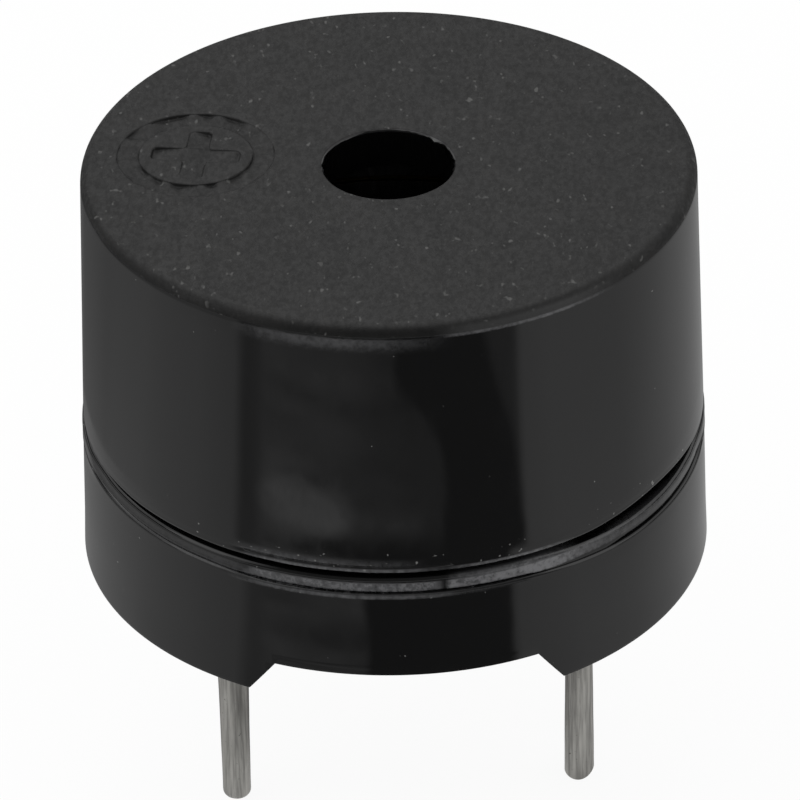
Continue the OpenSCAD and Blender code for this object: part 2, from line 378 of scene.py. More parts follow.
erodedTop = {
    "colour": (0.004, 0.004, 0.004),
    "roughness": 0.5,
    "roughnessSpread": 0.1,
    "ior": 1.3,
    "cloudColour": (0.0075, 0.0072, 0.007),
    "cloud": {"grain": 0.6, "stretch": (1, 0.55, 1), "detail": 5.0, "roughness": 0.7},
    "pits": {"grain": 0.085, "stretch": (1, 0.55, 1), "detail": 5.0, "roughness": 0.62},
    "pitDepth": 0.011,
    # painted glints: lighter specks that stand in for the sparkle of the eroded top
    "paintedGlintColour": (0.062, 0.062, 0.06),
    "specks": {"grain": 0.13, "stretch": (1, 0.55, 1), "detail": 1.0},
    "speckSpan": (0.65, 0.75),
    "swarms": {"grain": 0.52, "detail": 1.0},    # where specks gather
    "swarmSpan": (0.4, 0.6),
    # paler colour of the painted rim highlight
    "paintedHighlight": (0.03, 0.03, 0.03),
    "paintedHighlightDepths": (0.02, 0.1),                 # under the top, where the painted rim highlight begins and is full
    "paintedHighlightRim": ((6, 0), (12, 0.8), (32, 1), (40, 0.5), (46, 0)),   # azimuth and share
}


def mattBlack(name):
    look = erodedTop
    material, shader = startMaterial(name, look["colour"], look["roughness"], ior=look["ior"])
    cloud, pits, specks, swarms = (
        noiseField(material, **look[field]) for field in ("cloud", "pits", "specks", "swarms"))
    colour = blendColours(remap(cloud, *noiseSpan), look["colour"], look["cloudColour"])
    # painted glints where specks and swarms meet
    bright = times(remap(specks, *look["speckSpan"]), remap(swarms, *look["swarmSpan"]))
    colour = blendColours(bright, colour, look["paintedGlintColour"])
    x, y, height = placeInMm(material)
    begins, full = look["paintedHighlightDepths"]
    # painted highlight: the rim's round edge is paler towards the front
    rim = times(remap(height, topZ - begins, topZ - full),
                azimuthRamp(azimuthAt(x, y), look["paintedHighlightRim"]))
    limits = [look["roughness"] + side * look["roughnessSpread"] for side in (-1, 1)]
    setSurface(shader, blendColours(rim, colour, look["paintedHighlight"]), remap(pits, *noiseSpan, *limits),
               bumpFrom(pits, look["pitDepth"]))
    return material


tinning = {
    "bright": (0.5, 0.49, 0.462),
    "dull": (0.29, 0.284, 0.268),
    "stain": (0.10, 0.095, 0.085),
    "roughness": (0.34, 0.52),
    "streaks": {"grain": 0.07, "stretch": (1, 1, 0.05), "detail": 4.0, "roughness": 0.6},
    "streakSpan": (0.35, 0.65),
    "streakDepth": 0.008,
    "streakStrength": 0.7,
    "clouds": {"grain": 0.5, "stretch": (1, 1, 0.35)},
    "cloudSpan": (0.5, 0.75),
    "cloudLevel": 0.5,
    "pits": {"grain": 0.09, "detail": 2.0},
    "pitSpan": (0.68, 0.78),
    "pitLevel": 0.8,
    "pitDepth": 0.006,
    "pitStrength": 0.5,
}


def tinnedWire(name):
    look = tinning
    material, shader = startMaterial(name, look["bright"], look["roughness"][0], 1.0)
    streaks, clouds, pits = (noiseField(material, **look[field]) for field in ("streaks", "clouds", "pits"))
    colour = blendColours(remap(streaks, *look["streakSpan"]), look["dull"], look["bright"])
    colour = blendColours(remap(clouds, *look["cloudSpan"], 0.0, look["cloudLevel"]),
                          colour, look["dull"])
    colour = blendColours(remap(pits, *look["pitSpan"], 0.0, look["pitLevel"]), colour, look["stain"])
    lines = bumpFrom(streaks, look["streakDepth"], look["streakStrength"])
    setSurface(shader, colour, remap(clouds, *noiseSpan, *look["roughness"]),
               bumpFrom(pits, look["pitDepth"], look["pitStrength"], lines))
    return material


innerFinishes = (            # the parts inside: clean metal, ferrite and glue, clouded a little
    {"name": "platedIron", "nodes": ("yoke_plate", "pole_core"), "light": (0.48, 0.48, 0.49),
     "dark": (0.3, 0.3, 0.31), "roughness": 0.38, "grain": 0.12, "depth": 0.004},
    {"name": "enamelledWire", "nodes": ("coil", "positive_coil_lead", "negative_coil_lead"),
     "light": (0.56, 0.2, 0.08), "dark": (0.16, 0.04, 0.015), "varnish": (0.3, 0.09, 0.03),
     "varnishGrain": 0.3, "varnishSpan": (0.45, 0.75), "varnishLevel": 0.4, "roughness": (0.22, 0.4),
     "wirePitch": 0.12, "grooveShadeSpan": (-1, 0.2), "depth": 0.01},
    {"name": "solder", "nodes": ("positive_solder_joint", "negative_solder_joint"),
     "light": (0.62, 0.62, 0.61), "dark": (0.42, 0.42, 0.42), "roughness": 0.28,
     "grain": 0.15, "depth": 0.006},
    {"name": "stampedDisc", "nodes": ("armature_disc",), "light": (0.4, 0.4, 0.41),
     "dark": (0.24, 0.24, 0.25), "roughness": 0.45, "grain": 0.1, "depth": 0.005},
    {"name": "ferrite", "nodes": ("ring_magnet",), "light": (0.05, 0.05, 0.055),
     "dark": (0.025, 0.025, 0.028), "roughness": 0.62, "metallic": 0.0, "grain": 0.06, "depth": 0.006},
    {"name": "curedAdhesive", "nodes": ("magnet_adhesive",), "light": (0.42, 0.34, 0.16),
     "dark": (0.3, 0.22, 0.09), "roughness": 0.35, "metallic": 0.0, "grain": 0.4, "depth": 0.01},
    {"name": "turnedBrass", "nodes": ("support_ring",), "light": (0.6, 0.46, 0.2),
     "dark": (0.4, 0.29, 0.11), "roughness": 0.35, "grain": 0.08, "depth": 0.004},
    {"name": "rolledSteel", "nodes": ("diaphragm",), "light": (0.5, 0.5, 0.51),
     "dark": (0.34, 0.34, 0.35), "roughness": 0.32, "grain": 0.08, "depth": 0.003,
     "stretch": (1, 0.08, 1)},
)

clouding = {
    "broadGrain": 9,         # times the fine grain
    "broadSpan": (0.35, 0.7),
    "fineSpan": (0.55, 0.8),
    "fineLevel": 0.4,
    "roughnessSpan": (-0.06, 0.08),
}


def cloudyFinish(look):
    metallic = look.get("metallic", 1.0)
    material, shader = startMaterial(look["name"], look["light"], look["roughness"], metallic)
    fine = noiseField(material, look["grain"], look.get("stretch", (1, 1, 1)), detail=4.0, roughness=0.6)
    broad = noiseField(material, look["grain"] * clouding["broadGrain"], detail=2.0)
    colour = blendColours(remap(broad, *clouding["broadSpan"]), look["light"], look["dark"])
    wornShare = remap(fine, *clouding["fineSpan"], 0.0, clouding["fineLevel"])
    limits = [look["roughness"] + change for change in clouding["roughnessSpan"]]
    setSurface(shader, blendColours(wornShare, colour, look["dark"]), remap(fine, *noiseSpan, *limits),
               bumpFrom(fine, look["depth"]))
    return material


def woundCopper(look):  # turns of enamelled wire, a pitch apart up the coil, with painted shade in the grooves between turns
    material, shader = startMaterial(look["name"], look["light"], look["roughness"][0], 1.0)
    height = placeInMm(material)[2]
    turns = calculate("SINE", times(height, 2 * math.pi / look["wirePitch"]))
    varnish = noiseField(material, look["varnishGrain"])
    # painted shade: darker where neighbouring turns meet
    colour = blendColours(remap(turns, *look["grooveShadeSpan"]), look["dark"], look["light"])
    coated = remap(varnish, *look["varnishSpan"], 0.0, look["varnishLevel"])
    setSurface(shader, blendColours(coated, colour, look["varnish"]),
               remap(varnish, *noiseSpan, *look["roughness"]), bumpFrom(turns, look["depth"]))
    return material


def dressInnerNodes():
    for look in innerFinishes:
        finish = woundCopper(look) if "wirePitch" in look else cloudyFinish(look)
        for name in look["nodes"]:
            for place in nodes[name].material_slots:
                place.material = finish


upperCase = {                # skirt, rolled lip, matt top with sound hole
    "steps": 288,
    "topRadius": 5.79,
    "edgeRound": 0.22,
    "edgeSteps": 8,
    "mattBelow": 0.18,       # how far down the round edge the matt texture reaches
    "wallRows": 18,
    "headRow": (0.001, 0.04),   # out and down from the round edge
    "footRow": 0.02,         # above the groove
    "lipRadius": 0.08,
    "lipStart": 12,          # degrees over the horizontal where the lip's curve begins
    "lipSteps": 7,
    "grooveHeight": 0.155,   # of the fine line above the lip, from the seam
    "grooveDepth": 0.03,
    "grooveWidth": 0.07,
    "grooveStep": 0.002,     # how far the wall stands back below the line
    "grooveSpan": (-31, 10),   # azimuths between which the line shows
    "grooveFade": (4, 8),    # degrees to either side of them
    "grooveLeft": 0.001,     # depth that is left where the line has faded
    "holeRadius": 1.24,
    "holeRound": 0.055,
    "holeSteps": 5,
    "mouth": 0.1,            # depth of the hole's finest band
    "holeRows": 4,
    "rebateRadius": 5.4,
    "rebateTop": 3.5,
    "ringRadius": 5.05,
    "ringTop": 5.0,
    "chamberRadius": 4.75,
    "roofZ": 7.4,
    "weldDirection": -33,
    "weldSpan": 24,
    "weldRise": 0.11,
    "weldFrom": 0.02,        # rise from which the lip counts as open
    "weldWaveShare": 0.4,
    "lipDepth": 0.1,         # how far inside the rebate the bend reaches
    "lipFade": (0.25, 0.9),  # heights over the seam between which it fades
    "lipWave": 0.012,
    "lipWaveGrain": 1.1,
    "wallWave": 0.003,
    "wallWaveGrain": (2.4, 2.4, 3.6),
    "wallWaveFade": (0.2, 0.6),   # from the wall's ends
    "wallDepth": 0.05,
    "flash": 0.02,
    "flashGrain": (9, 7, 20),     # degrees
    "flashReach": (0.02, 0.2),    # aside and down from the mouth
    "burr": {"size": 0.05, "angle": 42, "width": 4},
    "flatBand": 0.05,
    "foldAngle": 60,         # the mark's edges that fold by more are rounded
}

polarityMark = {
    "offset": 3.65,
    "turn": -8.9,
    "ringOuter": 1.48,
    "ringInner": 1.08,
    "plusLength": 1.66,
    "plusWidth": 0.42,
    "cornerRound": 0.1,
    "cornerSteps": 4,
    "edgeRound": 0.035,
    "depth": 0.07,
    "leastDepth": 0.15,      # share of the depth that is left where the mark is faint
    "faintGrain": 0.3,
    "faintSpan": (-0.28, 0.3),    # noise from which the mark rises to its full depth
    "skin": 0.001,           # vertices nearer to the top than this stay
    "slack": 0.05,
    "reach": 0.1,            # beyond the ring, where its edges are looked for
    "steps": 96,
}


def capProfile(look):
    top, lip, edge = look["topRadius"], look["lipRadius"], look["edgeRound"]
    grooveZ, half = seamZ + look["grooveHeight"], look["grooveWidth"] / 2
    wallFoot = (skirtRadius, seamZ + look["grooveHeight"] + look["grooveWidth"])
    wallHead = (top, topZ - edge)
    out, down = look["headRow"]
    outer = arc((top - edge, topZ - edge), edge, 90, 0, look["edgeSteps"])
    outer += [(top + out, wallHead[1] - down)]
    outer += between(wallHead, wallFoot, look["wallRows"])
    outer += [(skirtRadius, grooveZ + half + look["footRow"]), (skirtRadius, grooveZ + half)]
    outer += [(skirtRadius - look["grooveDepth"], grooveZ)]
    outer += [(skirtRadius - look["grooveStep"], grooveZ - half)]
    outer += arc((skirtRadius - lip, seamZ + lip), lip, look["lipStart"], -90, look["lipSteps"])
    hole, curve, mouthZ = look["holeRadius"], look["holeRound"], topZ - look["mouth"]
    inner = [(look["rebateRadius"], seamZ), (look["rebateRadius"], look["rebateTop"])]
    inner += [(look["ringRadius"], look["rebateTop"]), (look["ringRadius"], look["ringTop"])]
    inner += [(look["chamberRadius"], look["ringTop"]), (look["chamberRadius"], look["roofZ"])]
    inner += [(hole, look["roofZ"])]
    inner += between((hole, look["roofZ"]), (hole, mouthZ), look["holeRows"]) + [(hole, mouthZ)]
    inner += arc((hole + curve, topZ - curve), curve, 180, 90, look["holeSteps"])
    return outer + inner


def fadedGroove(look, point):
    low, high = look["grooveSpan"]
    fadeLow, fadeHigh = look["grooveFade"]
    azimuth, radius = frontAngle(point), point.xy.length / mm
    onGroove = abs(point.z / mm - seamZ - look["grooveHeight"]) < look["grooveWidth"] / 4
    if not onGroove or radius < skirtRadius - 2 * look["grooveDepth"]:
        return
    shown = smoothStep(low - fadeLow, low + fadeLow, azimuth)
    shut = 1 - shown * (1 - smoothStep(high - fadeHigh, high + fadeHigh, azimuth))
    point.xy *= 1 + (skirtRadius - look["grooveLeft"] - radius) * shut / radius


def bentLip(look, point):  # the lip stands up where the weld stayed open, and waves a little elsewhere
    if point.xy.length / mm < look["rebateRadius"] - look["lipDepth"]:
        return
    away = math.degrees(math.atan2(point.y, point.x)) - look["weldDirection"]
    near = 1 - smoothStep(*look["lipFade"], point.z / mm - seamZ)
    rise = 0.0
    if abs(away) < look["weldSpan"]:
        rise = look["weldRise"] * math.cos(math.radians(90 * away / look["weldSpan"])) ** 2
    wave = look["lipWave"] * noise.noise(Vector((point.x, point.y, 0)) / (look["lipWaveGrain"] * mm))
    waveShare = 1 if rise < look["weldFrom"] else look["weldWaveShare"]
    point.z += (rise + wave * waveShare) * near * mm


def wavyWall(look, point):  # slight sink marks of the moulded wall
    height = point.z / mm
    radius = point.xy.length
    near, far = look["wallWaveFade"]
    onWall = smoothStep(seamZ + near, seamZ + far, height) * (1 - smoothStep(topZ - far, topZ - near, height))
    if radius / mm < look["topRadius"] - look["wallDepth"] or not onWall:
        return
    field = Vector([part / grain for part, grain in zip(point, look["wallWaveGrain"])]) / mm
    push = look["wallWave"] * noise.noise(field) * onWall * mm
    point.xy *= 1 + push / radius


def raggedHole(look, point):  # thin flash round the mouth, with one burr
    radius = point.xy.length / mm
    aside, down = look["flashReach"]
    if abs(radius - look["holeRadius"]) > aside or point.z / mm < topZ - down:
        return
    angle = math.degrees(math.atan2(point.y, point.x))
    alongX, alongY, along = (angle / grain for grain in look["flashGrain"])
    flash = look["flash"] * (0.5 + noise.noise(Vector((math.cos(alongX), math.sin(alongY), along))))
    burr = look["burr"]
    flash += burr["size"] * math.exp(-((angle - burr["angle"]) / burr["width"]) ** 2)
    point.xy *= 1 - flash / radius


def plusOutline(bm, mark, place):
    half, arm = mark["plusWidth"] / 2, mark["plusLength"] / 2
    quarter = [(arm, -half), (arm, half), (half, half)]
    verts = []
    for turn in range(4):
        spun = Matrix.Rotation(turn * math.pi / 2, 4, "Z")
        verts += [bm.verts.new(place @ spun @ Vector((x * mm, y * mm, 0))) for x, y in quarter]
    for pair in zip(verts, verts[1:] + verts[:1]):
        bm.edges.new(pair)
    bmesh.ops.bevel(bm, geom=verts, offset=mark["cornerRound"] * mm, offset_type="OFFSET",
                    segments=mark["cornerSteps"], profile=0.5, affect="VERTICES", material=-1)


def faintMark(mark, place, point):  # the mark's depth comes and goes
    away = (point - place.translation).length / mm
    if away > mark["ringOuter"] + mark["slack"] or point.z / mm > topZ - mark["skin"]:
        return
    field = noise.noise(Vector((point.x, point.y, 0)) / (mark["faintGrain"] * mm))
    share = mark["leastDepth"] + (1 - mark["leastDepth"]) * smoothStep(*mark["faintSpan"], field)
    point.z = topZ * mm - (topZ * mm - point.z) * share


def looseEdgesNear(bm, place, reach):  # edges of outlines that hold no face, or one
    centre = place.translation
    return [e for e in bm.edges if (e.is_boundary or e.is_wire)
            and all((v.co - centre).length / mm <= reach for v in e.verts)]


def sinkMark(bm, mark):
    turned = Matrix.Rotation(math.radians(mark["turn"]), 4, "Z")
    place = turned @ Matrix.Translation((-mark["offset"] * mm, 0, topZ * mm))
    loops = {name: circleLoop(bm, mark[name], mark["steps"], place) for name in ("ringOuter", "ringInner")}
    plusOutline(bm, mark, place)
    loops["plus"] = looseEdgesNear(bm, place, mark["ringInner"] - mark["slack"])
    return place, loops


def makeUpperCase(wallMaterial, topMaterial):
    look, mark = upperCase, polarityMark
    bm = bmesh.new()
    spinProfile(bm, capProfile(look), look["steps"])
    outerRim = borderAt(bm, topZ, look["topRadius"] - look["edgeRound"])
    holeRim = borderAt(bm, topZ, look["holeRadius"] + look["holeRound"])
    place, loops = sinkMark(bm, mark)
    feet = {name: lowerLoop(bm, loops[name], mark["depth"]) for name in loops}
    borders = (outerRim + holeRim + loops["ringOuter"], loops["ringInner"] + loops["plus"],
               feet["ringOuter"] + feet["ringInner"], feet["plus"])
    for flat in [fillFlat(bm, border) for border in borders]:
        bandInside(bm, flat, look["flatBand"])
    bmesh.ops.recalc_face_normals(bm, faces=bm.faces[:])

    def onMark(point):
        return (point - place.translation).length / mm < mark["ringOuter"] + mark["reach"]
    roundEdges(bm, sharpEdges(bm, look["foldAngle"], onMark), mark["edgeRound"])
    for face in bm.faces:
        middle = face.calc_center_median() / mm
        inside = middle.xy.length < look["holeRadius"] + look["holeRound"] / 2
        face.material_index = int(middle.z > topZ - look["mattBelow"] and not inside)
    for vert in bm.verts:
        faintMark(mark, place, vert.co)
        for change in (raggedHole, wavyWall, fadedGroove, bentLip):
            change(look, vert.co)
    piece = finishPiece(bm, "mouldedUpperCase", (wallMaterial, topMaterial))
    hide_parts("upper_case")


lowerCase = {                # feet, channel, shoulder, bead and spigot
    "steps": 288,
    "shoulderRadius": 5.94,
    "footRow": 0.06,
    "channelRows": 3,
    "wallRows": 8,
    "shoulderRow": 0.03,     # under the round shoulder
    "edgeRound": 0.06,
    "edgeTurn": 78,
    "edgeSteps": 7,
    "creaseDepth": 0.04,
    "beadRound": 0.08,
    "beadTurn": -75,
    "beadSteps": 6,
    "beadHeight": 0.28,
    "beadRadius": 5.88,
    "rimZ": 2.8,
    "rimRound": 0.1,
    "spigotRadius": 5.35,
    "spigotRise": 0.58,      # over the seam
    "wellRadius": 5.0,
    "wellFloor": 1.5,
    "channelHeight": 0.68,
    "channelFoot": 5.9,
    "channelTop": 4.93,
    "ceilingRadius": 5.977,
    "channelRound": 0.03,
    "wallFrom": 5.5,         # what lies farther out belongs to the outer wall
    "foldAngle": 30,         # the channel's edges that fold by more are rounded
    "flatBand": 0.06,
    "pinHole": 0.3,
    "pinHoleSteps": 40,
    "pinHoleDepth": 0.5,
    "pinClear": 0.5,         # radius round a pin where no edge is rounded
    "slack": 0.01,
    "flatSlack": 0.002,
    "skinDepth": 0.2,        # how deep under the bead its changes reach
    "sinkReach": 0.4,        # how far below the crease they begin
    "sinkFade": (0.36, 0.1),
    "rimFade": (0.02, 0.05),
    "stepFade": 0.1,
    "creaseSlack": 0.02,
    "dent": 0.012,
    "dentGrains": (0.16, 0.9),    # fine and broad
    "dentShares": (0.5, 0.6),
    "dentFrom": 0.1,
    # azimuth, and how far the crease is closed there
    "shutCrease": ((-90, 1), (-78, 0.8), (-34, 0.7), (-26, 0), (20, 0), (27, 0.75), (40, 0.7),
                   (46, 0), (74, 0.2), (84, 1), (270, 1)),
    # how far the crease and the rim sink
    "sunkCrease": ((-90, 0), (-40, 0), (-26, 0.05), (20, 0.06), (48, 0.16), (75, 0.14), (84, 0),
                   (270, 0)),
    "sunkRim": ((-90, 0), (20, 0), (48, 0.12), (75, 0.1), (84, 0), (270, 0)),
    # where the bead is welded flush with the lip, and its step out and up there
    "closedSeam": ((-90, 1), (-79, 1), (-72, 0), (75, 0), (83, 1), (270, 1)),
    "closedStep": (0.07, 0.085),
}


def baseProfile(look):
    edge, crease = look["edgeRound"], look["rimZ"] - look["beadHeight"]
    rim, bead = look["rimZ"], look["beadRadius"]
    row, fold, rimRound = look["footRow"], look["beadRound"], look["rimRound"]
    taper = (footRadius - look["shoulderRadius"]) / (crease - edge)
    ceiling = (look["ceilingRadius"], look["channelHeight"])
    shoulder = (look["shoulderRadius"], crease - edge)
    points = [(footRadius, boardZ), (footRadius - taper * row, boardZ + row)]
    points += between(points[-1], ceiling, look["channelRows"]) + [ceiling]
    points += between(ceiling, shoulder, look["wallRows"])
    points += [(shoulder[0], shoulder[1] - look["shoulderRow"])]
    points += arc((shoulder[0] - edge, shoulder[1]), edge, 0, look["edgeTurn"], look["edgeSteps"])
    points += [(bead - look["creaseDepth"], crease)]
    points += arc((bead - fold, crease + fold), fold, look["beadTurn"], 0, look["beadSteps"])
    points += arc((bead - rimRound, rim - rimRound), rimRound, 0, 90, look["beadSteps"])
    spigotZ = seamZ + look["spigotRise"]
    points += [(look["spigotRadius"], rim), (look["spigotRadius"], spigotZ)]
    points += [(look["wellRadius"], spigotZ), (look["wellRadius"], look["wellFloor"])]
    return points


def unevenBead(look, point):  # the crease closes away from the front, the bead sinks or is welded flush
    height, radius = point.z / mm, point.xy.length / mm
    crease, azimuth = look["rimZ"] - look["beadHeight"], frontAngle(point)
    if radius < look["beadRadius"] - look["skinDepth"] or height < crease - look["sinkReach"]:
        return
    reach = look["edgeRound"] + look["creaseSlack"]
    share = min(max((height - crease + reach) / (2 * reach), 0), 1)
    shut = look["shoulderRadius"] + (look["beadRadius"] - look["shoulderRadius"]) * share
    if abs(height - crease) <= reach and radius < shut:
        point.xy *= 1 + (shut - radius) * levelAt(look["shutCrease"], azimuth) / radius
    closed = levelAt(look["closedSeam"], azimuth)
    out, up = look["closedStep"]
    fade = look["stepFade"]
    outward = smoothStep(crease - fade, crease + fade, height)
    point.xy *= 1 + out * mm * closed * outward / point.xy.length
    low, high = look["rimFade"]
    onRim = smoothStep(crease + low, look["rimZ"] - high, height)
    sunk = levelAt(look["sunkCrease"], azimuth) * (1 - onRim) + levelAt(look["sunkRim"], azimuth) * onRim
    far, near = look["sinkFade"]
    point.z -= sunk * smoothStep(crease - far, crease - near, height) * mm
    point.z += up * closed * smoothStep(crease, look["rimZ"], height) * mm


def dentedBead(look, point):  # small nicks in the bead under the seam
    height, radius = point.z / mm, point.xy.length / mm
    crease = look["rimZ"] - look["beadHeight"] - levelAt(look["sunkCrease"], frontAngle(point))
    onBead = crease < height < look["rimZ"] + look["slack"]
    if radius < look["beadRadius"] - look["skinDepth"] or not onBead:
        return
    fine, broad = (noise.noise(point / (grain * mm)) for grain in look["dentGrains"])
    fineShare, broadShare = look["dentShares"]
    push = look["dent"] * (fineShare * fine * (fine > look["dentFrom"]) + broadShare * broad)
    point.xy *= 1 - push / radius


def cutChannel(bm, look):
    height, foot, top = look["channelHeight"], look["channelFoot"] / 2, look["channelTop"] / 2

    def onWall(centre):
        return centre.z < height and centre.xy.length > look["wallFrom"]
    for side in (-1, 1):
        low = []
        for face in bm.faces:
            centre = face.calc_center_median() / mm
            if onWall(centre) and side * centre.x > 0:
                low.append(face)
        geom = unique(item for f in low for item in (*f.verts, *f.edges)) + low
        bmesh.ops.bisect_plane(bm, geom=geom, dist=mergeDistance / 10, plane_co=(side * foot * mm, 0, 0),
                               plane_no=(side * height, 0, foot - top))
    cut = []
    for face in bm.faces:
        centre = face.calc_center_median() / mm
        if onWall(centre) and abs(centre.x) < foot + (top - foot) * centre.z / height:
            cut.append(face)
    bmesh.ops.delete(bm, geom=cut, context="FACES")


def pinHole(bm, look, side):  # blind hole round a pin, and the loop at its mouth
    place = Matrix.Translation((side * pinX * mm, 0, boardZ * mm))
    mouth = circleLoop(bm, look["pinHole"], look["pinHoleSteps"], place)
    return mouth, lambda: fillFlat(bm, lowerLoop(bm, mouth, -look["pinHoleDepth"]))


def closeBottom(bm, look):
    height, foot, top = look["channelHeight"], look["channelFoot"] / 2, look["channelTop"] / 2
    slack, flat = look["slack"], look["flatSlack"]

    def atBottom(point):
        return point.xy.length / mm > look["wallFrom"] and point.z / mm < height + slack
    edges = [e for e in bm.edges if e.is_boundary and all(atBottom(v.co) for v in e.verts)]
    verts = unique(v for e in edges for v in e.verts)

    def cornerAt(x, y, z):
        wanted = Vector((x, y, z)) * mm
        return min(verts, key=lambda v: (v.co - wanted).length)

    long = {}                # edges across the whole base, beside the channel
    for side in (-1, 1):
        for name, x, z in (("foot", foot, 0), ("ceiling", top, height)):
            depth = math.sqrt(footRadius ** 2 - x ** 2)
            long[side, name] = bm.edges.new([cornerAt(side * x, y, z) for y in (-depth, depth)])

    def openWhere(test):
        return [e for e in edges if all(test(v.co / mm) for v in e.verts)]

    def onFoot(point, side):
        return abs(point.z) < flat and side * point.x > 0

    def onSlope(point, side):
        return side * point.x > 0 and abs(abs(point.x) - foot - (top - foot) * point.z / height) < slack

    flats = []
    for side in (-1, 1):
        mouth, sinkHole = pinHole(bm, look, side)
        footEdges = openWhere(lambda p: onFoot(p, side)) + [long[side, "foot"]]
        sinkHole()
        slope = openWhere(lambda p: onSlope(p, side)) + [long[side, "foot"], long[side, "ceiling"]]
        flats += [fillFlat(bm, footEdges + mouth), fillFlat(bm, slope)]
    ceiling = openWhere(lambda p: abs(p.z - height) < flat and abs(p.x) <= top + slack)
    flats.append(fillFlat(bm, ceiling + [long[-1, "ceiling"], long[1, "ceiling"]]))
    for faces in flats:
        bandInside(bm, faces, look["flatBand"])


def makeLowerCase(material):
    look = lowerCase
    bm = bmesh.new()
    spinProfile(bm, baseProfile(look), look["steps"])
    fillFlat(bm, borderAt(bm, look["wellFloor"], look["wellRadius"]))
    cutChannel(bm, look)
    closeBottom(bm, look)
    bmesh.ops.recalc_face_normals(bm, faces=bm.faces[:])

    def onChannel(point):
        nearPin = math.hypot(abs(point.x) / mm - pinX, point.y / mm) < look["pinClear"]
        return point.z / mm < look["channelHeight"] + look["slack"] and not nearPin
    roundEdges(bm, sharpEdges(bm, look["foldAngle"], onChannel), look["channelRound"])
    for vert in bm.verts:
        unevenBead(look, vert.co)
        dentedBead(look, vert.co)
    piece = finishPiece(bm, "mouldedLowerCase", (material,))
    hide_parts("lower_case")


terminalPins = {
    "radius": 0.29,
    "rise": 0.45,            # into the base
    "steps": 40,
    "rows": 22,
    "tipSteps": 6,
    "flatBand": 0.03,
    "dent": 0.004,
    "dentGrain": (2, 2, 1.4),     # noise cells in a millimetre
    "widthFrom": (0.2, 0.3),      # shares of the length where the pin's width departs, and changes
    "bendEnd": 0.6,          # share of the length below which the pin runs straight again
    "shearHeight": 0.5,
    "shearCurve": 0.5,       # radius of the sheared end's side
    "positive": {"node": "positive_pin", "side": -1, "tipRound": 0.13, "raise": 0.0,
                 "bend": (0.115, -0.15), "widths": (1.06, 0.95)},     # bend at the tip; width at foot and tip
    "negative": {"node": "negative_pin", "side": 1, "tipRound": 0.04, "raise": 0.03,
                 "bend": (0.18, 0.08), "widths": (0.9, 1)},
}


def shearedRise(look, own, x, z, lowZ):  # the sheared end curves up to its right side
    share = smoothStep(lowZ + look["shearHeight"], lowZ, z)
    across, curve = x + look["radius"] / 4, look["shearCurve"]
    return share * (own["raise"] + max(0, curve - math.sqrt(max(curve ** 2 - across * across, 0))))


def bentPin(look, own, length, point):
    x, z = point.x / mm, point.z / mm
    down = min(max((boardZ - z) / length, 0), 1)
    if own["side"] > 0:
        point.z += shearedRise(look, own, x, z, boardZ - length) * mm
    above, below = own["widths"]
    departs, changes = look["widthFrom"]
    wide = above + (below - above) * smoothStep(changes, 1.0, down)
    wide = 1 + (wide - 1) * smoothStep(0.0, departs, down)
    place = (x, point.y / mm, z)
    dent = look["dent"] * noise.noise(Vector([part * grain for part, grain in zip(place, look["dentGrain"])]))
    bendX, bendY = own["bend"]
    point.x = (x * wide + own["side"] * pinX + bendX * smoothStep(0.0, look["bendEnd"], down) + dent) * mm
    point.y += (bendY * down - dent) * mm


def makePin(which, material):
    look, own = terminalPins, terminalPins[which]
    radius, tip, top = look["radius"], own["tipRound"], boardZ + look["rise"]
    lowZ = cadSpan(own["node"])[0].z
    bm = bmesh.new()
    profile = [(radius, top)] + between((radius, top), (radius, lowZ + tip), look["rows"])
    profile += arc((radius - tip, lowZ + tip), tip, 0, -90, look["tipSteps"])
    spinProfile(bm, profile, look["steps"])
    for height, reach in ((top, radius), (lowZ, radius - tip)):
        bandInside(bm, fillFlat(bm, borderAt(bm, height, reach)), look["flatBand"])
    for vert in bm.verts:
        bentPin(look, own, boardZ - lowZ, vert.co)
    piece = finishPiece(bm, f"{which}TerminalPin", (material,))
    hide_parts(own["node"])


studio = {
    "floorSize": 700,
    "floorSteps": 8,
    "floorDrop": 0.01,       # under the pins' tips
    "floorColour": (0.9, 0.9, 0.9),
    "floorRoughness": 0.9,
    "shadowShare": 0.08,     # how much of the floor's own shading the camera sees
    "ambient": 0.81,
    "lamps": (
        {"name": "overheadSoftbox", "at": (-30, 50, 120), "size": 130, "radiance": 0.9},
        {"name": "leftSoftbox", "at": (-120, -40, 70), "size": 90, "radiance": 0.7},
        {"name": "rightSoftbox", "at": (120, -30, 60), "size": 90, "radiance": 0.6},
    ),
}

